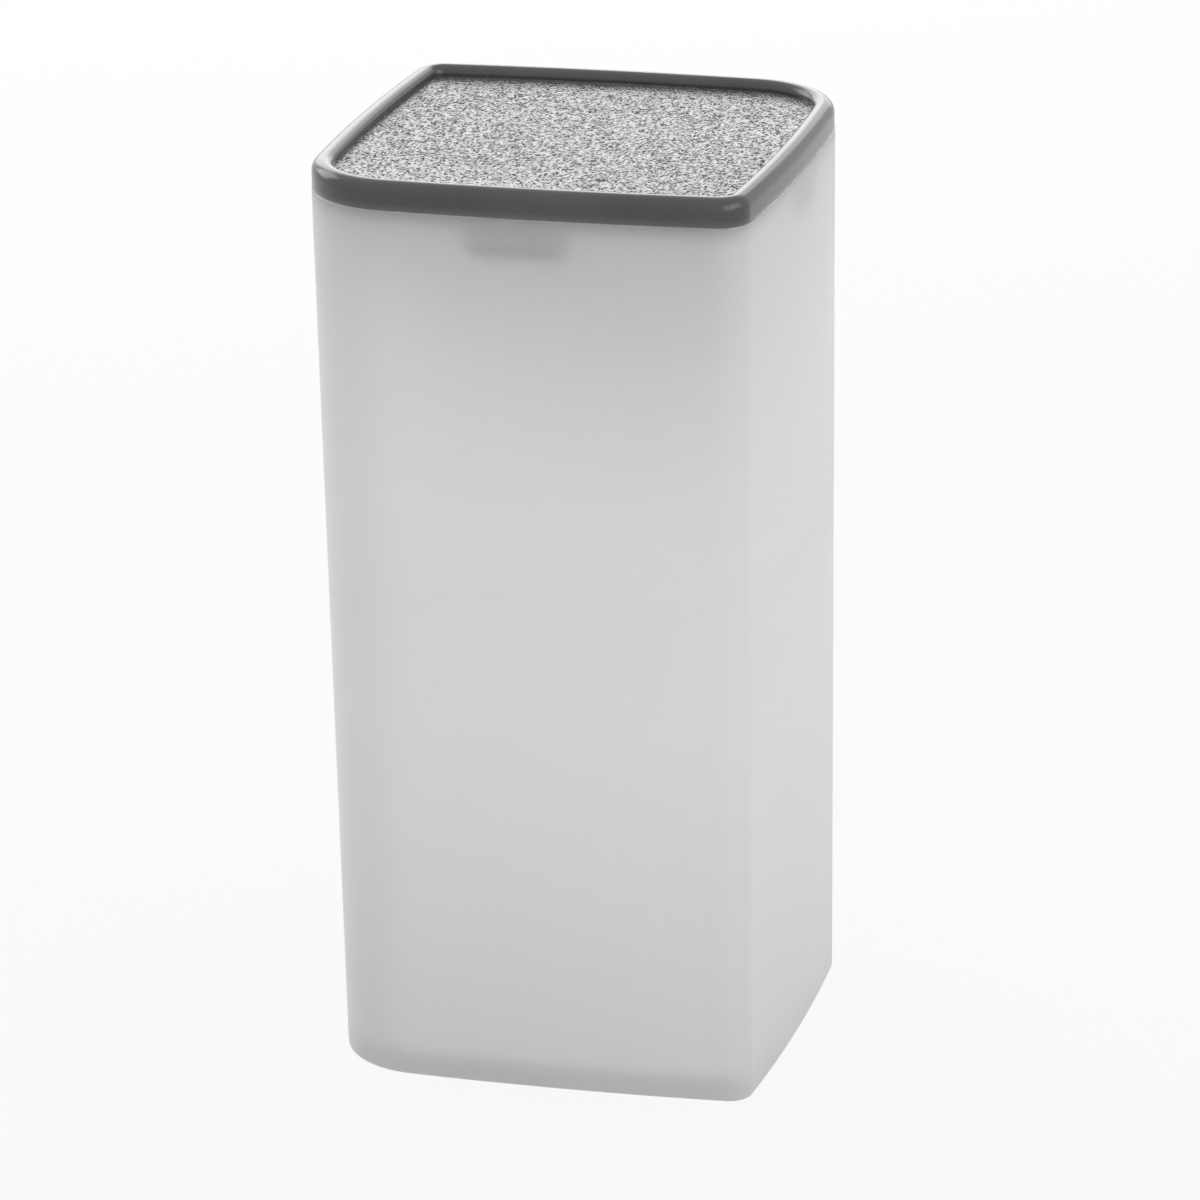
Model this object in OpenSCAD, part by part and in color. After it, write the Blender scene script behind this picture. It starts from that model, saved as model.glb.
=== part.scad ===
// Square tube with a snap lid for a stack of large coins
//
// Two mouldings: a deep drafted tube in milky plastic and an opaque lid that plugs into its mouth.
// Seen from above both follow one outline. Its four sides bow out slightly, two opposite corners
// are large and the other two are small. Every face is that outline set in by some distance at
// some height, so the tube, the lid and the fit between them all come from the same few sizes.
// The origin is the centre of the foot, +Z is up, and -Y is the front.

/* [Coin well] */
// Clear width of the well at its floor, measured between the middles of two sides
well_w = 39.1; // [36:0.1:46]
// Depth of the well, from its floor to the mouth
well_depth = 81.7; // [40:0.1:120]
// Radius of the fillet round the floor
well_fillet = 0.4; // [0.1:0.05:0.8]

/* [Outline from above] */
// Radius of the front left and back right corners at the mouth
large_corner_r = 9.3; // [6:0.1:13]
// Radius of the front right and back left corners at the mouth
small_corner_r = 3; // [2.7:0.1:6]
// Radius of the slight outward bow of each side
side_r = 255; // [120:5:600]

/* [Tube] */
// Thickness of the wall
wall_t = 1.2; // [0.9:0.05:1.5]
// Thickness of the floor
floor_t = 1.6; // [1:0.1:3]
// How much wider the tube is at its mouth than at its foot
mouth_gain = 1.5; // [0:0.1:1.8]
// Edge broken round the outside of the mouth
mouth_edge = 0.1; // [0.05:0.05:0.3]
// Chamfer that leads the lid into the mouth
lead_in = 0.35; // [0.1:0.05:0.6]

/* [Foot] */
// Width of the ring that the tube stands on
foot_ring_w = 1.8; // [1:0.1:4]
// Depth of the shallow recess inside the ring
foot_recess = 0.6; // [0.2:0.1:1.5]
// Radius of the outside edge of the foot
foot_round = 0.4; // [0.1:0.05:1]
// Radius of the stub that the moulding gate leaves, in the recess and under the lid
gate_r = 0.7; // [0.3:0.1:1.5]
// Height of the gate's stub
gate_h = 0.3; // [0.1:0.05:0.5]

/* [Lid] */
// How far the lid's band is set back from the outside of the mouth
lid_setback = 0.05; // [0:0.01:0.4]
// Height of the lid's band above the mouth
band_h = 2.6; // [2:0.1:5]
// Width of the raised rim round the panel
rim_w = 2; // [1.8:0.1:4]
// Radius of the rim's outside edge
rim_outer_r = 1.15; // [0.4:0.05:1.2]
// Radius of the rim's inside edge
rim_inner_r = 0.85; // [0.1:0.05:0.85]
// Drop from the top of the rim to the panel
panel_drop = 1; // [1:0.05:1.6]
// Radius of the fillet between the panel and the rim
panel_fillet = 0.15; // [0.05:0.05:0.15]
// Thickness of the panel
panel_t = 1.2; // [0.8:0.05:2]
// Edge broken round the bottom of the band
band_edge = 0.1; // [0.05:0.05:0.3]

/* [Lid plug] */
// Running gap between the plug and the wall of the tube
plug_gap = 0.3; // [0.15:0.05:0.5]
// Thickness of the skirt and the lugs
skirt_t = 0.9; // [0.6:0.05:1.4]
// Depth of the skirt below the mouth
skirt_h = 1.5; // [0.8:0.1:2]
// Chamfer round the skirt's lower edge
skirt_edge = 0.25; // [0.05:0.05:0.4]
// Width of each snap lug
lug_w = 9.6; // [5:0.1:16]
// Depth of the lugs below the mouth
lug_h = 4; // [3:0.1:8]
// Radius of a lug's lower corners
lug_corner_r = 1.5; // [0.5:0.1:2.4]

/* [Snap bead] */
// Radius of the bead along each lug
bead_r = 0.4; // [0.25:0.05:0.6]
// How far the bead stands out of the lug
bead_out = 0.2; // [0.05:0.01:0.25]
// Distance of the bead's centre above the end of its lug
bead_up = 1; // [0.6:0.1:1.6]
// Length of plain lug left past each end of the bead
bead_inset = 1.2; // [0.5:0.1:2]
// Radius of the groove in the wall behind a bead
groove_r = 0.9; // [0.6:0.05:1.5]
// Depth of the groove
groove_deep = 0.35; // [0.1:0.05:0.5]
// Room past each end of the bead in its groove
groove_room = 0.8; // [0.2:0.1:1.5]

/* [Hidden] */

// Faces along each corner, each side and each small edge round
corner_steps = 14;
side_steps = 8;
edge_steps = 5;
fine = 48;
// Overrun of every cut, and the least radius that an inner corner keeps
overrun = 0.5;
least_r = 0.15;

// Heights
floor_z = foot_recess + floor_t;
mouth_z = floor_z + well_depth;
top_z = mouth_z + band_h;
panel_z = top_z - panel_drop;
plug_roof_z = panel_z - panel_t;
bead_z = mouth_z - lug_h + bead_up;

// Width of the mouth between the middles of two sides. Every outline below is set in from it.
mouth_w = well_w + 2 * draft_inset(floor_z) + 2 * wall_t;
// From the tube's axis to the centre of a side's arc, which lies beyond the opposite side
side_offset = side_r - mouth_w / 2;
corner_rs = [large_corner_r, small_corner_r, large_corner_r, small_corner_r];

// How far the tube's faces at height z are set in from where they are at the mouth
function draft_inset(z) = (1 - z / mouth_z) * mouth_gain / 2;

// Set-in of the well and of the lid's plug at height z
function well_inset(z) = draft_inset(z) + wall_t;
function plug_inset(z) = well_inset(z) + plug_gap;

// A corner's arc is tangent to the arcs of both its sides
function corner_centre(r) = (sqrt(2 * pow(side_r - r, 2) - pow(side_offset, 2)) - side_offset) / 2;
function corner_start(r) = atan2(corner_centre(r), corner_centre(r) + side_offset);
function polar(radius, angle) = [radius * cos(angle), radius * sin(angle)];
function turned(p, angle) = [p.x * cos(angle) - p.y * sin(angle), p.x * sin(angle) + p.y * cos(angle)];

// Points of one corner, and of the side after it, counted anticlockwise from the back right corner
function corner_points(quarter, inset) =
    let (r = corner_rs[quarter], c = corner_centre(r), start = corner_start(r))
    [for (i = [0 : corner_steps])
        turned([c, c] + polar(max(r - inset, least_r), start + i * (90 - 2 * start) / corner_steps),
            90 * quarter)];
function side_points(quarter, inset) =
    let (first = -corner_start(corner_rs[quarter]), last = corner_start(corner_rs[(quarter + 1) % 4]))
    [for (i = [1 : side_steps - 1])
        turned([0, -side_offset] + polar(side_r - inset, 90 + first + i * (last - first) / side_steps),
            90 * quarter)];

// The outline set in by a distance. Set-in arcs keep their centres, so all the faces stay flat.
function outline(inset) =
    [for (quarter = [0 : 3]) each concat(corner_points(quarter, inset), side_points(quarter, inset))];

// A solid through a list of levels, each [height, set-in], from the lowest to the highest
module loft(levels) {
    rings = [for (level = levels) outline(level[1])];
    count = len(rings[0]);
    last = len(levels) - 1;
    points = [for (k = [0 : last]) for (p = rings[k]) [p.x, p.y, levels[k][0]]];
    sides = [for (k = [0 : last - 1]) for (i = [0 : count - 1])
        let (j = (i + 1) % count)
        [k * count + i, (k + 1) * count + i, (k + 1) * count + j, k * count + j]];
    low_cap = [for (i = [0 : count - 1]) i];
    high_cap = [for (i = [count - 1 : -1 : 0]) last * count + i];
    polyhedron(points = points, faces = concat([low_cap], sides, [high_cap]), convexity = 6);
}

// Levels of a quarter round on a solid's lower or upper outside edge, or on a cut's
function low_round(z, inset, r) = [for (i = [0 : edge_steps])
    let (a = 90 * i / edge_steps) [z + r * (1 - cos(a)), inset + r * (1 - sin(a))]];
function high_round(z, inset, r) = [for (i = [0 : edge_steps])
    let (a = 90 * i / edge_steps) [z - r * (1 - sin(a)), inset + r * (1 - cos(a))]];
function flare(z, inset, r) = [for (i = [0 : edge_steps])
    let (a = 90 * i / edge_steps) [z - r * (1 - sin(a)), inset - r * (1 - cos(a))]];

// The tube's outside, its well and the recess under its floor
module tube_outside() {
    loft(concat(
        low_round(0, draft_inset(foot_round), foot_round),
        [[mouth_z - mouth_edge, 0], [mouth_z, mouth_edge]]));
}

module well_cut() {
    lead_top = well_inset(mouth_z) - lead_in;
    loft(concat(
        low_round(floor_z, well_inset(floor_z), well_fillet),
        [[mouth_z - lead_in, well_inset(mouth_z)], [mouth_z, lead_top], [mouth_z + overrun, lead_top]]));
}

module foot_cut() {
    ring_inset = draft_inset(0) + foot_ring_w;
    loft([[-overrun, ring_inset], [foot_recess, ring_inset + foot_recess / 2]]);
}

// A bar along the middle of all four sides, its centre set in by a distance at height z
module bars_on_sides(z, inset, r, length) {
    for (angle = [0 : 90 : 270])
        rotate([0, 0, angle])
            translate([0, mouth_w / 2 - inset, z])
                rotate([0, 90, 0])
                    cylinder(h = length, r = r, center = true, $fn = fine);
}

bead_length = lug_w - 2 * bead_inset;

module tube_body() {
    color([0.82, 0.82, 0.81]) {
        difference() {
            tube_outside();
            well_cut();
            foot_cut();
            // Grooves that the lid's beads snap into
            bars_on_sides(bead_z, well_inset(bead_z) + groove_r - groove_deep, groove_r,
                bead_length + 2 * groove_room);
        }
        translate([0, 0, foot_recess - gate_h])
            cylinder(h = gate_h + floor_t / 2, r = gate_r, $fn = fine);
    }
}

// The lid's band, rim and panel as one block, and the recess above the panel
module lid_outside() {
    loft(concat(
        [[mouth_z, lid_setback + band_edge], [mouth_z + band_edge, lid_setback]],
        high_round(top_z, lid_setback, rim_outer_r)));
}

module panel_cut() {
    wall_inset = lid_setback + rim_w;
    loft(concat(
        low_round(panel_z, wall_inset, panel_fillet),
        flare(top_z, wall_inset, rim_inner_r),
        [[top_z + overrun, wall_inset - rim_inner_r]]));
}

// The plug down to a depth below the mouth, with its lower edge chamfered
module plug(depth) {
    low = mouth_z - depth;
    loft([
        [low, plug_inset(low) + skirt_edge],
        [low + skirt_edge, plug_inset(low + skirt_edge)],
        [plug_roof_z, plug_inset(mouth_z)]]);
}

module plug_hollow() {
    low = mouth_z - lug_h - overrun;
    loft([[low, plug_inset(low) + skirt_t], [plug_roof_z, plug_inset(mouth_z) + skirt_t]]);
}

// Outline of a lug seen from its side of the tube: a tab with two round lower corners
module lug_shape() {
    straight_w = lug_w - 2 * lug_corner_r;
    translate([-lug_w / 2, lug_corner_r])
        square([lug_w, lug_h - lug_corner_r + band_h / 2]);
    translate([-straight_w / 2, 0])
        square([straight_w, lug_h]);
    for (side = [-1, 1])
        translate([side * straight_w / 2, lug_corner_r])
            circle(r = lug_corner_r, $fn = fine);
}

// The middle part of all four sides of the deep plug
module lugs() {
    intersection() {
        plug(lug_h);
        union()
            for (angle = [0, 90])
                rotate([90, 0, angle])
                    translate([0, mouth_z - lug_h, 0])
                        linear_extrude(height = mouth_w, center = true)
                            lug_shape();
    }
}

module lid() {
    color([0.36, 0.36, 0.37]) {
        difference() {
            union() {
                lid_outside();
                plug(skirt_h);
                lugs();
            }
            panel_cut();
            plug_hollow();
        }
        bars_on_sides(bead_z, plug_inset(bead_z) + bead_r - bead_out, bead_r, bead_length);
        translate([0, 0, plug_roof_z - gate_h])
            cylinder(h = gate_h + panel_t / 2, r = gate_r, $fn = fine);
    }
}

tube_body();
lid();
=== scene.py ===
import math

import bmesh
import bpy
import numpy as np
from mathutils import Matrix, Vector


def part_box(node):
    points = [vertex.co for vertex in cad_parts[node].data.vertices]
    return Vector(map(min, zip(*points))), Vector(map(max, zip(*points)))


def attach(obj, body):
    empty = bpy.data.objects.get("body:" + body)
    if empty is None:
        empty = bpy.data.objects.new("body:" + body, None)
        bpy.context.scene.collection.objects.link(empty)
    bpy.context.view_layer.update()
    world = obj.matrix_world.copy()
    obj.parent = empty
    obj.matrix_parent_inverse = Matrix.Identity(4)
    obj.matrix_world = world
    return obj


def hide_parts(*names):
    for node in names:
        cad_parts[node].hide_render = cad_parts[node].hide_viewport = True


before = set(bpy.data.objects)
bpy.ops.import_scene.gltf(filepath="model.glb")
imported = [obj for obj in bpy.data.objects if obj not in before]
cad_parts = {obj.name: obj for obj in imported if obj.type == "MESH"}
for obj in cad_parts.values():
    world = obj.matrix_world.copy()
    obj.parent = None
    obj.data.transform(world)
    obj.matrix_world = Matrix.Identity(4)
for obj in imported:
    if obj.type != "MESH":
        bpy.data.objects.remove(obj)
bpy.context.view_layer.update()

# Square coin tube with a snap lid. Metres, origin at the centre of the foot, -Y is the front.
mm = 0.001

# The outline that every face of the tube and the lid follows, seen from above
outline = {
    "largeCornerR": 9.3 * mm,   # front left and back right
    "smallCornerR": 3.0 * mm,   # front right and back left
    "leastCornerR": 0.1 * mm,   # what a deeply inset corner keeps
    "sideR": 255 * mm,          # slight outward bow of each side
    "cornerFaces": 22,
    "sideFaces": 44,
}

tubeLow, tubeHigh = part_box("tube_body")
lidLow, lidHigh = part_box("lid")
mouthWidth = tubeHigh.x - tubeLow.x
lidSetback = (mouthWidth - (lidHigh.x - lidLow.x)) / 2
mouthZ = tubeHigh.z
topZ = lidHigh.z
sideOffset = outline["sideR"] - mouthWidth / 2


def cornerArc(radius):
    # Centre on the diagonal and first angle of a corner that is tangent to both its sides
    reach = math.sqrt(2 * (outline["sideR"] - radius) ** 2 - sideOffset ** 2)
    centre = (reach - sideOffset) / 2
    return centre, math.atan2(centre, centre + sideOffset)


def ringPoints(inset):
    # The outline set in by a distance: back right corner, back side, back left corner and so on.
    # Each point comes with its outward direction and its place along the side, from the side's
    # middle, which is None in a corner.
    large, small = outline["largeCornerR"], outline["smallCornerR"]
    radii = [large, small, large, small]
    points = []
    for quarter in range(4):
        turn = quarter * math.pi / 2
        centre, first = cornerArc(radii[quarter])
        nextFirst = cornerArc(radii[(quarter + 1) % 4])[1]
        radius = max(radii[quarter] - inset, outline["leastCornerR"])
        arcs = []
        for i in range(outline["cornerFaces"] + 1):
            a = first + i * (math.pi / 2 - 2 * first) / outline["cornerFaces"]
            arcs.append((centre + radius * math.cos(a), centre + radius * math.sin(a), a, None))
        reach = outline["sideR"] - inset
        for i in range(1, outline["sideFaces"]):
            a = math.pi / 2 - first + i * (first + nextFirst) / outline["sideFaces"]
            arcs.append((reach * math.cos(a), reach * math.sin(a) - sideOffset, a, reach * math.cos(a)))
        c, s = math.cos(turn), math.sin(turn)
        for x, y, a, along in arcs:
            outward = Vector((math.cos(a + turn), math.sin(a + turn)))
            points.append((Vector((x * c - y * s, x * s + y * c)), outward, along))
    return points


def arcLevels(z, inset, radius, startAngle, endAngle, steps):
    # Levels round an edge: the angle is 0 where the face is upright and 90 where it is level
    levels = []
    for i in range(steps + 1):
        a = math.radians(startAngle + (endAngle - startAngle) * i / steps)
        levels.append((z + radius * math.sin(a), inset - radius * math.cos(a)))
    return levels


def joinRings(bm, rings):
    # Faces between each ring of points and the next
    for ring, following in zip(rings, rings[1:]):
        for i in range(len(ring)):
            j = (i + 1) % len(ring)
            bm.faces.new((ring[i], ring[j], following[j], following[i]))


def loft(levels, push=None):
    # A closed skin through rings at the levels, each (height, inset), with a face on both ends
    bm = bmesh.new()
    rings = []
    for z, inset in levels:
        ring = []
        for spot, outward, along in ringPoints(inset):
            if push:
                spot = spot + outward * push(z, inset, along)
            ring.append(bm.verts.new((spot.x, spot.y, z)))
        rings.append(ring)
    joinRings(bm, rings)
    bm.faces.new(list(reversed(rings[0])))
    bm.faces.new(rings[-1])
    return bm


# The stub that the moulding gate leaves, under the floor of the tube and under the lid
gate = {
    "radius": 0.7 * mm,
    "height": 0.3 * mm,
    "root": 0.1 * mm,       # how far it starts inside the plastic
    "faces": 28,
    "shoulder": 0.8,        # where the end begins to round, as a share of the height
    "endShare": 0.86,       # radius of the end's edge, as a share of the stub's
    "hollowShare": 0.5,     # and of the hollow in the end
    "tears": 3,             # uneven places round the end
    "tearShare": 0.05,      # their height, as a share of the stub's
}


def gateStub(bm, rootZ):
    # A short pin that hangs from a face, with a torn, slightly hollow end
    height = gate["height"]
    shoulder = height * gate["shoulder"]
    profile = [(1, -gate["root"]), (1, shoulder)]
    profile += [(gate["endShare"], height), (gate["hollowShare"], shoulder)]
    rings = []
    for share, drop in profile:
        reach = share * gate["radius"]
        ring = []
        for i in range(gate["faces"]):
            a = 2 * math.pi * i / gate["faces"]
            tear = gate["tearShare"] * height * math.sin(gate["tears"] * a) * (1 - share)
            ring.append(bm.verts.new((reach * math.cos(a), reach * math.sin(a), rootZ - drop + tear)))
        rings.append(ring)
    joinRings(bm, rings)
    bm.faces.new(rings[0])
    bm.faces.new(list(reversed(rings[-1])))


def addObject(name, mesh):
    obj = bpy.data.objects.new(name, mesh)
    bpy.context.scene.collection.objects.link(obj)
    return obj


sharpAngle = math.radians(35)   # edges sharper than this stay crisp in the shading


def addPiece(name, bm, material, body):
    # Turns a bmesh into a smooth piece that rides on a body
    bmesh.ops.recalc_face_normals(bm, faces=bm.faces[:])
    mesh = bpy.data.meshes.new(name)
    bm.to_mesh(mesh)
    bm.free()
    mesh.materials.append(material)
    mesh.shade_smooth()
    mesh.set_sharp_from_angle(angle=sharpAngle)
    obj = addObject(name, mesh)
    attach(obj, body)
    return obj


def evenNormals(obj):
    # Large faces keep their own direction, so that they stay flat in the shading
    weights = obj.modifiers.new("evenNormals", "WEIGHTED_NORMAL")
    weights.keep_sharp = True


# Materials

def newMaterial(name):
    material = bpy.data.materials.new(name)
    material.use_nodes = True
    tree = material.node_tree
    return material, tree, tree.nodes["Principled BSDF"]


def objectCoords(tree):
    return tree.nodes.new("ShaderNodeTexCoord").outputs["Object"]


def noise(tree, coords, scale, detail=2):
    node = tree.nodes.new("ShaderNodeTexNoise")
    node.inputs["Scale"].default_value = scale
    node.inputs["Detail"].default_value = detail
    tree.links.new(coords, node.inputs["Vector"])
    return node.outputs["Fac"]


def mapRange(tree, value, fromLow, fromHigh, toLow, toHigh):
    node = tree.nodes.new("ShaderNodeMapRange")
    numbers = {"From Min": fromLow, "From Max": fromHigh, "To Min": toLow, "To Max": toHigh}
    for key, number in numbers.items():
        node.inputs[key].default_value = number
    tree.links.new(value, node.inputs["Value"])
    return node.outputs["Result"]


cloudRange = (0.3, 0.7)     # most of what a noise gives lies between these


def clouds(tree, coords, scale, detail):
    # Slow patches, from 0 to 1
    return mapRange(tree, noise(tree, coords, scale, detail), *cloudRange, 0, 1)


def multiply(tree, first, second):
    node = tree.nodes.new("ShaderNodeMath")
    node.operation = "MULTIPLY"
    for socket, value in zip(node.inputs, (first, second)):
        if isinstance(value, (int, float)):
            socket.default_value = value
        else:
            tree.links.new(value, socket)
    return node.outputs[0]


def greyBetween(tree, factor, dark, light):
    # A colour between two, by a factor from 0 to 1. Either is three numbers or a socket.
    mix = tree.nodes.new("ShaderNodeMix")
    mix.data_type = "RGBA"
    sockets = [s for s in mix.inputs if s.type == "RGBA"]
    for socket, colour in zip(sockets, (dark, light)):
        if isinstance(colour, tuple):
            socket.default_value = (*colour, 1)
        else:
            tree.links.new(colour, socket)
    tree.links.new(factor, mix.inputs[0])
    return next(s for s in mix.outputs if s.type == "RGBA")


def bump(tree, height, distance, strength, normal=None):
    node = tree.nodes.new("ShaderNodeBump")
    node.inputs["Distance"].default_value = distance
    node.inputs["Strength"].default_value = strength
    tree.links.new(height, node.inputs["Height"])
    if normal:
        tree.links.new(normal, node.inputs["Normal"])
    return node.outputs["Normal"]


def heightOf(tree, coords):
    split = tree.nodes.new("ShaderNodeSeparateXYZ")
    tree.links.new(coords, split.inputs[0])
    return split.outputs["Z"]


milkyLook = {
    "dark": (0.89, 0.89, 0.89),
    "light": (0.92, 0.92, 0.92),
    "paintedMiddleShare": 0.875,           # painted shade: how bright the colour is half way up, against the painted lighter top
    "paintedLightZ": (48 * mm, 70 * mm),  # heights between which that changes
    "paintedFootShare": 0.79,              # painted shade: how bright the colour is at the foot, against the middle
    "paintedFootFade": 36 * mm,
    "cloudScale": 55,
    "waveScale": 90,
    "waveBump": (0.3 * mm, 0.15),   # distance and strength
    "grainScale": 2600,
    "grainBump": (0.02 * mm, 0.25),
    "speckSpacing": 6.5 * mm,
    "speckR": 0.13 * mm,
    "speckCore": 0.5,               # share of that radius where a speck is at its darkest
    "speckShare": 0.45,             # how bright it is there
    "roughness": (0.3, 0.38),
    "scatterDepth": 6 * mm,
    "refraction": 1.49,
    "passShare": 0.87,              # of a lamp's light that gets through one face of the wall
}


def letLightThrough(tree, shader, share):
    # Part of the light on one side of a thin milky wall goes on to what is behind it
    path = tree.nodes.new("ShaderNodeLightPath")
    tinted = tree.nodes.new("ShaderNodeBsdfTransparent")
    tinted.inputs["Color"].default_value = (share, share, share, 1)
    lampMix = tree.nodes.new("ShaderNodeMixShader")
    tree.links.new(path.outputs["Is Shadow Ray"], lampMix.inputs[0])
    tree.links.new(shader.outputs[0], lampMix.inputs[1])
    tree.links.new(tinted.outputs[0], lampMix.inputs[2])
    clear = tree.nodes.new("ShaderNodeBsdfTransparent")
    partMix = tree.nodes.new("ShaderNodeMixShader")
    partMix.inputs[0].default_value = share
    tree.links.new(shader.outputs[0], partMix.inputs[1])
    tree.links.new(clear.outputs[0], partMix.inputs[2])
    glowMix = tree.nodes.new("ShaderNodeMixShader")
    tree.links.new(path.outputs["Is Diffuse Ray"], glowMix.inputs[0])
    tree.links.new(lampMix.outputs[0], glowMix.inputs[1])
    tree.links.new(partMix.outputs[0], glowMix.inputs[2])
    tree.links.new(glowMix.outputs[0], tree.nodes["Material Output"].inputs["Surface"])


def milkyPlastic():
    look = milkyLook
    material, tree, shader = newMaterial("milkyPlastic")
    coords = objectCoords(tree)
    cloud = clouds(tree, coords, look["cloudScale"], detail=3)
    colour = greyBetween(tree, cloud, look["dark"], look["light"])
    # Tiny dark specks in the plastic, and painted light and shade: the colour is lightest at the top,
    # darker at the middle and darker again towards the foot
    cells = tree.nodes.new("ShaderNodeTexVoronoi")
    cells.inputs["Scale"].default_value = 1 / look["speckSpacing"]
    tree.links.new(coords, cells.inputs["Vector"])
    speck = look["speckR"] / look["speckSpacing"]
    core = look["speckCore"] * speck
    speckShade = mapRange(tree, cells.outputs["Distance"], core, speck, look["speckShare"], 1)
    z = heightOf(tree, coords)
    # Painted shade towards the foot and painted light towards the top, set by height
    paintedFootShade = mapRange(tree, z, 0, look["paintedFootFade"], look["paintedFootShare"], 1)
    paintedTopLight = mapRange(tree, z, *look["paintedLightZ"], look["paintedMiddleShare"], 1)
    shade = multiply(tree, multiply(tree, speckShade, paintedFootShade), paintedTopLight)
    tree.links.new(greyBetween(tree, shade, (0, 0, 0), colour), shader.inputs["Base Color"])
    normal = bump(tree, noise(tree, coords, look["grainScale"]), *look["grainBump"])
    wave = noise(tree, coords, look["waveScale"], detail=1)
    normal = bump(tree, wave, *look["waveBump"], normal)
    tree.links.new(normal, shader.inputs["Normal"])
    tree.links.new(mapRange(tree, cloud, 0, 1, *look["roughness"]), shader.inputs["Roughness"])
    shader.inputs["Subsurface Weight"].default_value = 1
    shader.inputs["Subsurface Radius"].default_value = (1, 1, 1)
    shader.inputs["Subsurface Scale"].default_value = look["scatterDepth"]
    shader.inputs["IOR"].default_value = look["refraction"]
    letLightThrough(tree, shader, look["passShare"])
    return material


rimLook = {
    "dark": (0.068, 0.068, 0.069),
    "light": (0.084, 0.084, 0.085),
    "paintedSeamGlow": (0.16, 0.16, 0.16),    # painted light: the foot of the band is coloured lighter, as though the milky wall shone into it
    "paintedGlowFade": 0.9 * mm,               # how far up the painted light reaches
    "paintedGlowDrop": (0.2 * mm, 0.1 * mm),   # below the mouth it ends between these
    "cloudScale": 160,
    "grainScale": 3500,
    "grainBump": (0.01 * mm, 0.2),
    "roughness": (0.16, 0.22),
}


def rimPlastic():
    look = rimLook
    material, tree, shader = newMaterial("rimPlastic")
    coords = objectCoords(tree)
    cloud = clouds(tree, coords, look["cloudScale"], detail=4)
    colour = greyBetween(tree, cloud, look["dark"], look["light"])
    z = heightOf(tree, coords)
    # Painted light: the band's lower edge is coloured lighter just above the mouth
    above = mapRange(tree, z, mouthZ, mouthZ + look["paintedGlowFade"], 1, 0)
    seamLow, seamHigh = (mouthZ - drop for drop in look["paintedGlowDrop"])
    below = mapRange(tree, z, seamLow, seamHigh, 0, 1)
    glow = multiply(tree, multiply(tree, above, above), below)
    tree.links.new(greyBetween(tree, glow, colour, look["paintedSeamGlow"]), shader.inputs["Base Color"])
    normal = bump(tree, noise(tree, coords, look["grainScale"]), *look["grainBump"])
    tree.links.new(normal, shader.inputs["Normal"])
    tree.links.new(mapRange(tree, cloud, 0, 1, *look["roughness"]), shader.inputs["Roughness"])
    return material


stippleLook = {
    "dark": (0.075, 0.075, 0.076),
    "light": (0.115, 0.115, 0.116),
    "cloudScale": 900,
    "grainScale": 4200,
    "grainBump": (0.01 * mm, 0.2),
    "roughness": (0.14, 0.22),
}


def stipplePlastic():
    look = stippleLook
    material, tree, shader = newMaterial("stipplePlastic")
    coords = objectCoords(tree)
    cloud = clouds(tree, coords, look["cloudScale"], detail=3)
    tree.links.new(greyBetween(tree, cloud, look["dark"], look["light"]), shader.inputs["Base Color"])
    grain = noise(tree, coords, look["grainScale"], detail=3)
    normal = bump(tree, grain, *look["grainBump"])
    tree.links.new(normal, shader.inputs["Normal"])
    tree.links.new(mapRange(tree, cloud, 0, 1, *look["roughness"]), shader.inputs["Roughness"])
    return material


milky = milkyPlastic()
rimGrey = rimPlastic()
stippleGrey = stipplePlastic()
print("materials ready")


# The tube

tube = {
    "wall": 1.2 * mm,
    "floor": 1.6 * mm,
    "mouthGain": 1.5 * mm,      # how much wider the mouth is than the foot
    "footRecess": 0.6 * mm,
    "footRing": 1.8 * mm,       # width of the ring that the tube stands on
    "footRingSlope": 0.5,       # how far the ring's inner side leans, against its height
    "footRingEdge": 0.1 * mm,   # broken between that side and the bottom
    "footR": 0.4 * mm,
    "mouthEdge": 0.1 * mm,
    "leadIn": 0.35 * mm,        # chamfer between the lip and the well
    "wellFillet": 0.4 * mm,
    "grooveR": 0.9 * mm,
    "grooveDeep": 0.35 * mm,
    "grooveHalf": 4.4 * mm,     # half the length of a groove, along its side
    "grooveDrop": 3.0 * mm,     # below the mouth
    "grooveFade": 0.5 * mm,     # how softly a groove ends
    "grooveSpacing": 0.1 * mm,  # between the rings of the mesh through a groove
    "ringSpacing": 3.0 * mm,    # and up the rest of the wall
    "ringGap": 1.0 * mm,        # from the last of these to the mouth or the groove
    "recessRing": 0.2 * mm,     # extra rings that keep a face flat: from the recess's edge,
    "lipRing": 0.1 * mm,        # from the lip's inner edge,
    "mouthRing": 0.3 * mm,      # below the mouth's edges
    "filletRing": 0.4 * mm,     # and from the roundings of the foot and the well
    "footFaces": 6,
    "mouthFaces": 3,
    "wellFaces": 5,
}


def lean(z):
    # How far the tube's faces at a height are set in from where they are at the mouth
    return (1 - z / mouthZ) * tube["mouthGain"] / 2


def wellInset(z):
    return lean(z) + tube["wall"]


def spacedHeights(low, high, spacing):
    count = max(1, round((high - low) / spacing))
    return [low + (high - low) * i / count for i in range(count + 1)]


def groovePush(z, inset, along):
    # The wall gives way where the lid's beads sit: a shallow round groove in the middle of each side
    if along is None or inset < lean(z) + tube["wall"] / 2:
        return 0
    rise = abs(z - (mouthZ - tube["grooveDrop"]))
    if rise >= tube["grooveR"]:
        return 0
    depth = math.sqrt(tube["grooveR"] ** 2 - rise ** 2) - (tube["grooveR"] - tube["grooveDeep"])
    fade = min(1, max(0, (tube["grooveHalf"] - abs(along)) / tube["grooveFade"]))
    return max(0, depth) * fade


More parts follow.
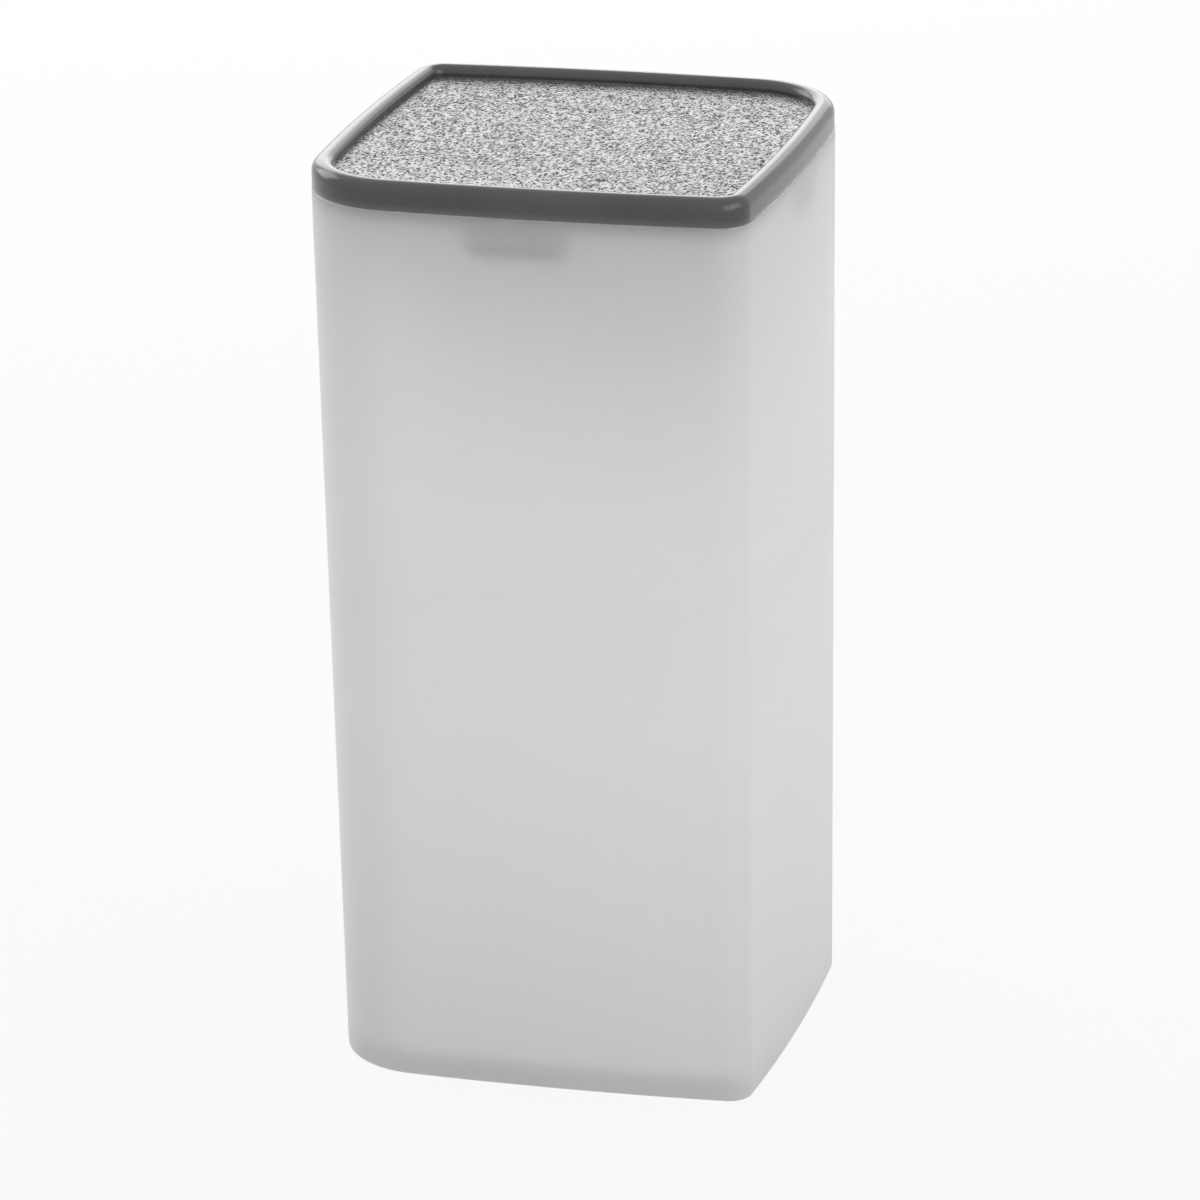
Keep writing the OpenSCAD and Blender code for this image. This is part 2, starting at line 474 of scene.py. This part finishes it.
def footLevels():
    # From the recess under the floor, over the ring that the tube stands on, to its outside
    recess, radius, edge = tube["footRecess"], tube["footR"], tube["footRingEdge"]
    slope = tube["footRingSlope"]
    ring = lean(0) + tube["footRing"]
    top = ring + slope * recess
    levels = [(recess, top + tube["recessRing"]), (recess, top)]
    levels += [(edge, ring + slope * edge), (0, ring - slope * edge)]
    return levels + arcLevels(radius, lean(radius) + radius, radius, -90, 0, tube["footFaces"])


def mouthLevels():
    # From the outside over the lip and down its lead-in
    edge, lead, below = tube["mouthEdge"], tube["leadIn"], tube["mouthRing"]
    well = wellInset(mouthZ)
    lip = well - lead
    levels = [(mouthZ - edge - below, 0)]
    levels += arcLevels(mouthZ - edge, edge, edge, 0, 90, tube["mouthFaces"])
    levels += [(mouthZ, lip - tube["lipRing"]), (mouthZ, lip)]
    return levels + [(mouthZ - lead, well), (mouthZ - lead - below, well)]


def makeTube():
    spacing, gap, beside = tube["ringSpacing"], tube["ringGap"], tube["filletRing"]
    floorZ = tube["footRecess"] + tube["floor"]
    grooveTop = mouthZ - tube["grooveDrop"] + tube["grooveR"]
    grooveLow = mouthZ - tube["grooveDrop"] - tube["grooveR"]
    fillet = tube["wellFillet"]
    filletInset = wellInset(floorZ) + fillet
    outside = spacedHeights(tube["footR"] + beside, mouthZ - gap, spacing)
    inside = spacedHeights(floorZ + fillet + beside, grooveLow - gap, spacing)
    inside += spacedHeights(grooveLow, grooveTop, tube["grooveSpacing"])
    levels = footLevels() + [(z, lean(z)) for z in outside] + mouthLevels()
    levels += [(z, wellInset(z)) for z in reversed(inside)]
    levels += reversed(arcLevels(floorZ + fillet, filletInset, fillet, -90, 0, tube["wellFaces"]))
    levels += [(floorZ, filletInset + beside)]
    bm = loft(levels, groovePush)
    gateStub(bm, tube["footRecess"])
    obj = addPiece("tubeShell", bm, milky, "tube")
    evenNormals(obj)
    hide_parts("tube_body")


makeTube()
print("tube ready")


# The lid

lid = {
    "rimWidth": 2.0 * mm,
    "rimOuterR": 1.15 * mm,
    "rimInnerR": 0.85 * mm,
    "panelDrop": 1.0 * mm,      # from the top of the rim to the panel
    "panelThick": 1.2 * mm,
    "panelFillet": 0.15 * mm,
    "panelBed": 0.35 * mm,      # how far under the panel's face the shell ends, to seat the stipple
    "bandEdge": 0.1 * mm,
    "plugGap": 0.3 * mm,        # between the plug and the well
    "skirtThick": 0.9 * mm,
    "skirtDeep": 1.5 * mm,      # below the mouth
    "skirtEdge": 0.25 * mm,     # broken on the skirt's outside
    "skirtInnerEdge": 0.1 * mm,
    "roofRing": 0.4 * mm,       # extra rings that keep a face flat: from the roof's edge,
    "plugRing": 0.1 * mm,       # below the top of the plug,
    "seatRing": 0.2 * mm,       # under the band and below the rim's rounding
    "bandRing": 0.25 * mm,      # and above the band's lower edge
    "bandFaces": 3,
    "rimOuterFaces": 12,
    "rimInnerFaces": 10,
}
panelZ = topZ - lid["panelDrop"]
wallInset = lidSetback + lid["rimWidth"]    # of the upright wall round the panel


def plugInset(z):
    return wellInset(z) + lid["plugGap"]


def plugLevels():
    # From the roof inside the lid, down the skirt and up its outside
    roofZ = panelZ - lid["panelThick"]
    skirtZ = mouthZ - lid["skirtDeep"]
    hollow = plugInset(mouthZ) + lid["skirtThick"]
    inside = plugInset(skirtZ) + lid["skirtThick"]
    levels = [(roofZ, hollow + lid["roofRing"]), (roofZ, hollow), (mouthZ, hollow)]
    edge, innerEdge = lid["skirtEdge"], lid["skirtInnerEdge"]
    levels += [(skirtZ + innerEdge, inside), (skirtZ, inside - innerEdge)]
    levels += [(skirtZ, plugInset(skirtZ) + edge), (skirtZ + edge, plugInset(skirtZ))]
    return levels + [(mouthZ - lid["plugRing"], plugInset(mouthZ)), (mouthZ, plugInset(mouthZ))]


def rimLevels():
    # Up the band, over the rim and down to the panel
    edge, outer, inner, seat = lid["bandEdge"], lid["rimOuterR"], lid["rimInnerR"], lid["seatRing"]
    levels = [(mouthZ, lidSetback + edge + seat)]
    levels += arcLevels(mouthZ + edge, lidSetback + edge, edge, -90, 0, lid["bandFaces"])
    levels += [(mouthZ + edge + lid["bandRing"], lidSetback), (topZ - outer - seat, lidSetback)]
    levels += arcLevels(topZ - outer, lidSetback + outer, outer, 0, 90, lid["rimOuterFaces"])
    levels += arcLevels(topZ - inner, wallInset - inner, inner, 90, 180, lid["rimInnerFaces"])[1:]
    bedZ = panelZ - lid["panelBed"]
    return levels + [(bedZ, wallInset), (bedZ, wallInset + lid["panelFillet"])]


def makeLid():
    bm = loft(plugLevels() + rimLevels())
    gateStub(bm, panelZ - lid["panelThick"])
    obj = addPiece("lidShell", bm, rimGrey, "lid")
    evenNormals(obj)
    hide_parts("lid")


# The stipple panel, which lies in the rim

stipple = {
    "seed": 7,
    "cell": 0.13 * mm,          # spacing of the mesh
    "grain": 0.25 * mm,         # usual distance between two pits
    "spread": 0.55,             # how much that distance varies
    "height": 0.21 * mm,        # usual depth of a pit
    "flatShare": 1.0,           # higher leaves narrower pits between flat tops
    "sharpness": 3,             # how suddenly a flat top ends at a pit
    "tuck": 0.25 * mm,          # how far the panel runs into the rim
    "edgeDrop": 0.25 * mm,      # how far its hem goes down inside the rim
    "samples": 640,             # of the random field, each way
    "rowMargin": 0.02 * mm,     # from the outline to the first and the last row of the mesh
    "sharpAngle": math.radians(60),
}


def stippleField(extent):
    # Random waves of about one length in every direction, as a sparked mould leaves them
    samples = stipple["samples"]
    rng = np.random.default_rng(stipple["seed"])
    white = rng.standard_normal((samples, samples))
    freq = np.fft.fftfreq(samples, d=extent / samples)
    radius = np.hypot(freq[:, None], freq[None, :]) * stipple["grain"]
    band = np.exp(-((radius - 1) / stipple["spread"]) ** 2)
    field = np.real(np.fft.ifft2(np.fft.fft2(white) * band))
    level = field / field.std() + stipple["flatShare"]
    return -np.logaddexp(0, -stipple["sharpness"] * level) / stipple["sharpness"]


def sampleField(field, extent, x, y):
    # Height of the stipple along one row, between the field's own samples
    u = (x / extent + 0.5) * (len(field) - 1)
    v = (y / extent + 0.5) * (len(field) - 1)
    column = np.clip(np.floor(u).astype(int), 0, len(field) - 2)
    row = min(max(int(math.floor(v)), 0), len(field) - 2)
    fu, fv = u - column, v - row
    low = field[row, column] * (1 - fu) + field[row, column + 1] * fu
    high = field[row + 1, column] * (1 - fu) + field[row + 1, column + 1] * fu
    return low * (1 - fv) + high * fv


def rowEnds(xs, ys, y):
    # Where a row of the mesh meets the closed outline
    hits = []
    for k in range(len(xs) - 1):
        if (ys[k] - y) * (ys[k + 1] - y) <= 0 and ys[k] != ys[k + 1]:
            hits.append(xs[k] + (xs[k + 1] - xs[k]) * (y - ys[k]) / (ys[k + 1] - ys[k]))
    return min(hits), max(hits)


def makePanel():
    edge = [spot for spot, outward, along in ringPoints(wallInset - stipple["tuck"])]
    xs = np.array([p.x for p in edge] + [edge[0].x])
    ys = np.array([p.y for p in edge] + [edge[0].y])
    field = stippleField(mouthWidth)
    rows = int((ys.max() - ys.min()) / stipple["cell"])
    columns = int((xs.max() - xs.min()) / stipple["cell"])
    verts, faces = [], []
    margin = stipple["rowMargin"]
    for y in np.linspace(ys.min() + margin, ys.max() - margin, rows):
        rowX = np.linspace(*rowEnds(xs, ys, y), columns)
        z = panelZ + sampleField(field, mouthWidth, rowX, y) * stipple["height"]
        verts += [(float(a), float(y), float(b)) for a, b in zip(rowX, z)]
    for r in range(rows - 1):
        for c in range(columns - 1):
            k = r * columns + c
            faces.append((k, k + 1, k + 1 + columns, k + columns))
    # The hem follows the edge of the mesh round and hangs down inside the rim
    hem = list(range(columns)) + [r * columns + columns - 1 for r in range(1, rows)]
    hem += [(rows - 1) * columns + c for c in range(columns - 2, -1, -1)]
    hem += [r * columns for r in range(rows - 2, 0, -1)]
    base, count = len(verts), len(hem)
    verts += [(verts[k][0], verts[k][1], panelZ - stipple["edgeDrop"]) for k in hem]
    for i in range(count):
        j = (i + 1) % count
        faces.append((hem[j], hem[i], base + i, base + j))
    faces.append(tuple(base + i for i in reversed(range(count))))
    mesh = bpy.data.meshes.new("stipplePanel")
    mesh.from_pydata(verts, [], faces)
    mesh.update()
    mesh.materials.append(stippleGrey)
    mesh.shade_smooth()
    mesh.set_sharp_from_angle(angle=stipple["sharpAngle"])
    obj = addObject("stipplePanel", mesh)
    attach(obj, "lid")


# The snap lugs, one in the middle of each side

lug = {
    "width": 9.6 * mm,
    "deep": 4.0 * mm,               # below the mouth
    "root": 0.1 * mm,               # how far it runs up into the lid
    "cornerR": 1.5 * mm,
    "cornerFaces": 6,
    "edge": 0.12 * mm,
    "edgeFaces": 3,
    "edgeAngle": math.radians(50),  # edges sharper than this are rounded
    "beadR": 0.4 * mm,
    "beadOut": 0.2 * mm,            # how far the bead stands out
    "beadUp": 1.0 * mm,             # from the end of the lug
    "beadInset": 1.2 * mm,          # from its sides
    "beadFaces": (24, 16),          # round the bead and from end to end
}


def lugOutline():
    # A tab with two round lower corners, seen from its side of the tube: (across, height)
    half, corner = lug["width"] / 2, lug["cornerR"]
    centreZ = mouthZ - lug["deep"] + corner
    shape = [(-half, mouthZ + lug["root"]), (half, mouthZ + lug["root"])]
    for side, first in ((1, 0), (-1, -90)):
        for step in range(lug["cornerFaces"] + 1):
            a = math.radians(first - 90 * step / lug["cornerFaces"])
            shape.append((side * (half - corner) + corner * math.cos(a), centreZ + corner * math.sin(a)))
    return shape


def addBead(bm):
    # A round bead with round ends along the outer face of a lug
    half, radius = lug["width"] / 2 - lug["beadInset"], lug["beadR"]
    z = mouthZ - lug["deep"] + lug["beadUp"]
    y = mouthWidth / 2 - plugInset(z) - radius + lug["beadOut"]
    around, along = lug["beadFaces"]
    capsule = bmesh.ops.create_uvsphere(bm, u_segments=around, v_segments=along, radius=radius)
    for vert in capsule["verts"]:
        x = vert.co.z
        x += half - radius if x > 0 else radius - half
        vert.co = Vector((x, vert.co.y + y, vert.co.x + z))


def makeLug(name, turn):
    # A tab hanging from the skirt in the middle of one side, with its snap bead
    shape = lugOutline()
    bm = bmesh.new()
    rings = []
    for inward in (0, lid["skirtThick"]):
        ring = []
        for x, z in shape:
            bow = outline["sideR"] - math.sqrt(outline["sideR"] ** 2 - x ** 2)
            ring.append(bm.verts.new((x, mouthWidth / 2 - plugInset(z) - bow - inward, z)))
        rings.append(ring)
    joinRings(bm, rings)
    bm.faces.new(rings[0])
    bm.faces.new(list(reversed(rings[1])))
    addBead(bm)
    bmesh.ops.rotate(bm, cent=(0, 0, 0), matrix=Matrix.Rotation(turn, 3, "Z"), verts=bm.verts[:])
    obj = addPiece(name, bm, rimGrey, "lid")
    bevel = obj.modifiers.new("edges", "BEVEL")
    bevel.width = lug["edge"]
    bevel.segments = lug["edgeFaces"]
    bevel.limit_method = "ANGLE"
    bevel.angle_limit = lug["edgeAngle"]
    evenNormals(obj)


makeLid()
makePanel()
for index, lugName in enumerate(("lugBack", "lugLeft", "lugFront", "lugRight")):
    makeLug(lugName, index * math.pi / 2)
print("lid ready")


# Floor, light and camera

studio = {
    "floorSize": 6.0,
    "floorDrop": 0.02 * mm,     # how far it lies below the foot
    "floorGrey": 0.7,
    "whiteShare": 0.88,         # of the floor's look to the camera that is plain white
    "ambient": 0.42,            # brightness of the world's light on the object
    "lampAim": Vector((0, 0, 0.05)),
}

# Lamps: width, height, brightness (1 is white), place, and whether it lights, shows in gloss or both
lamps = {
    "backLamp": (0.60, 0.40, 2.7, (-0.15, 0.56, 0.26), "light"),
    "topLamp": (0.40, 0.40, 1.6, (0.05, 0.05, 0.62), "light"),
    "rightLamp": (0.35, 0.35, 1.6, (0.55, -0.10, 0.35), "both"),
    "leftLamp": (0.30, 0.30, 2.4, (-0.50, 0.22, 0.32), "both"),
    "frontLamp": (0.50, 0.50, 0.55, (0.15, -0.70, 0.45), "light"),
    "wideSheen": (0.54, 0.36, 1.25, (-0.13, 0.49, 0.265), "gloss"),
    "cornerSheen": (0.30, 0.36, 1.5, (0.34, -0.30, 0.25), "gloss"),
    "leftSheen": (0.34, 0.24, 1.05, (-0.20, 0.45, 0.285), "gloss"),
}


def seenDirectly(tree):
    # 1 for rays of the camera, of reflections and through clear parts, 0 for light on the object
    path = tree.nodes.new("ShaderNodeLightPath")
    total = path.outputs["Is Camera Ray"]
    for kind in ("Is Glossy Ray", "Is Transmission Ray"):
        either = tree.nodes.new("ShaderNodeMath")
        either.operation = "MAXIMUM"
        tree.links.new(total, either.inputs[0])
        tree.links.new(path.outputs[kind], either.inputs[1])
        total = either.outputs[0]
    return total


def whiteFor(tree, kind, share):
    # The mixer that lays plain white over a shader, where it is seen directly
    glow = tree.nodes.new(kind)
    glow.inputs["Color"].default_value = (1, 1, 1, 1)
    glow.inputs["Strength"].default_value = 1
    mix = tree.nodes.new("ShaderNodeMixShader")
    tree.links.new(multiply(tree, seenDirectly(tree), share), mix.inputs[0])
    tree.links.new(glow.outputs[0], mix.inputs[2])
    return mix


def makeFloor():
    half = studio["floorSize"] / 2
    mesh = bpy.data.meshes.new("floorSheet")
    corners = [(-half, -half, 0), (half, -half, 0), (half, half, 0), (-half, half, 0)]
    mesh.from_pydata(corners, [], [(0, 1, 2, 3)])
    obj = addObject("floorSheet", mesh)
    obj.location.z = -studio["floorDrop"]
    material = bpy.data.materials.new("paleFloor")
    material.use_nodes = True
    tree = material.node_tree
    tree.nodes.clear()
    out = tree.nodes.new("ShaderNodeOutputMaterial")
    paper = tree.nodes.new("ShaderNodeBsdfDiffuse")
    paper.inputs["Color"].default_value = (studio["floorGrey"],) * 3 + (1,)
    mix = whiteFor(tree, "ShaderNodeEmission", studio["whiteShare"])
    tree.links.new(paper.outputs[0], mix.inputs[1])
    tree.links.new(mix.outputs[0], out.inputs["Surface"])
    mesh.materials.append(material)


def makeWorld():
    world = bpy.data.worlds.new("studio")
    bpy.context.scene.world = world
    world.use_nodes = True
    tree = world.node_tree
    tree.nodes.clear()
    out = tree.nodes.new("ShaderNodeOutputWorld")
    lit = tree.nodes.new("ShaderNodeBackground")
    lit.inputs["Color"].default_value = (1, 1, 1, 1)
    lit.inputs["Strength"].default_value = studio["ambient"]
    mix = whiteFor(tree, "ShaderNodeBackground", 1)
    tree.links.new(lit.outputs[0], mix.inputs[1])
    tree.links.new(mix.outputs[0], out.inputs["Surface"])


def makeLamp(name):
    width, height, brightness, place, use = lamps[name]
    data = bpy.data.lights.new(name, "AREA")
    data.shape = "RECTANGLE"
    data.size = width
    data.size_y = height
    data.energy = brightness * math.pi * width * height
    obj = addObject(name, data)
    obj.location = place
    obj.rotation_euler = (studio["lampAim"] - Vector(place)).to_track_quat("-Z", "Y").to_euler()
    obj.visible_camera = False
    obj.visible_diffuse = use != "gloss"
    obj.visible_glossy = use != "light"


# Where the photograph was taken from, in degrees and metres
cameraView = {
    "azimuth": 15.38,       # from the front to the right
    "elevation": 19.64,
    "roll": -1.09,
    "distance": 0.5896,
    "target": Vector((0.00139, 0, 0.04089)),
    "focalPixels": 6307,    # focal length, on a square picture of this size
    "imagePixels": 1200,
    "sensorWidth": 36,      # millimetres
    "nearClip": 0.01,
}


def makeCamera():
    azimuth, elevation, roll = (math.radians(cameraView[k]) for k in ("azimuth", "elevation", "roll"))
    level = math.cos(elevation)
    back = Vector((math.sin(azimuth) * level, -math.cos(azimuth) * level, math.sin(elevation)))
    right = Vector((math.cos(azimuth), math.sin(azimuth), 0))
    up = back.cross(right)
    right, up = right * math.cos(roll) + up * math.sin(roll), up * math.cos(roll) - right * math.sin(roll)
    data = bpy.data.cameras.new("photoCamera")
    data.sensor_width = cameraView["sensorWidth"]
    data.lens = cameraView["focalPixels"] / cameraView["imagePixels"] * data.sensor_width
    data.clip_start = cameraView["nearClip"]
    obj = addObject("photoCamera", data)
    turn = Matrix((right, up, back)).transposed().to_4x4()
    place = cameraView["target"] + back * cameraView["distance"]
    obj.matrix_world = Matrix.Translation(place) @ turn
    bpy.context.scene.camera = obj


makeFloor()
makeWorld()
for lampName in lamps:
    makeLamp(lampName)
makeCamera()
bpy.context.scene.view_settings.view_transform = "Standard"
print("studio ready")
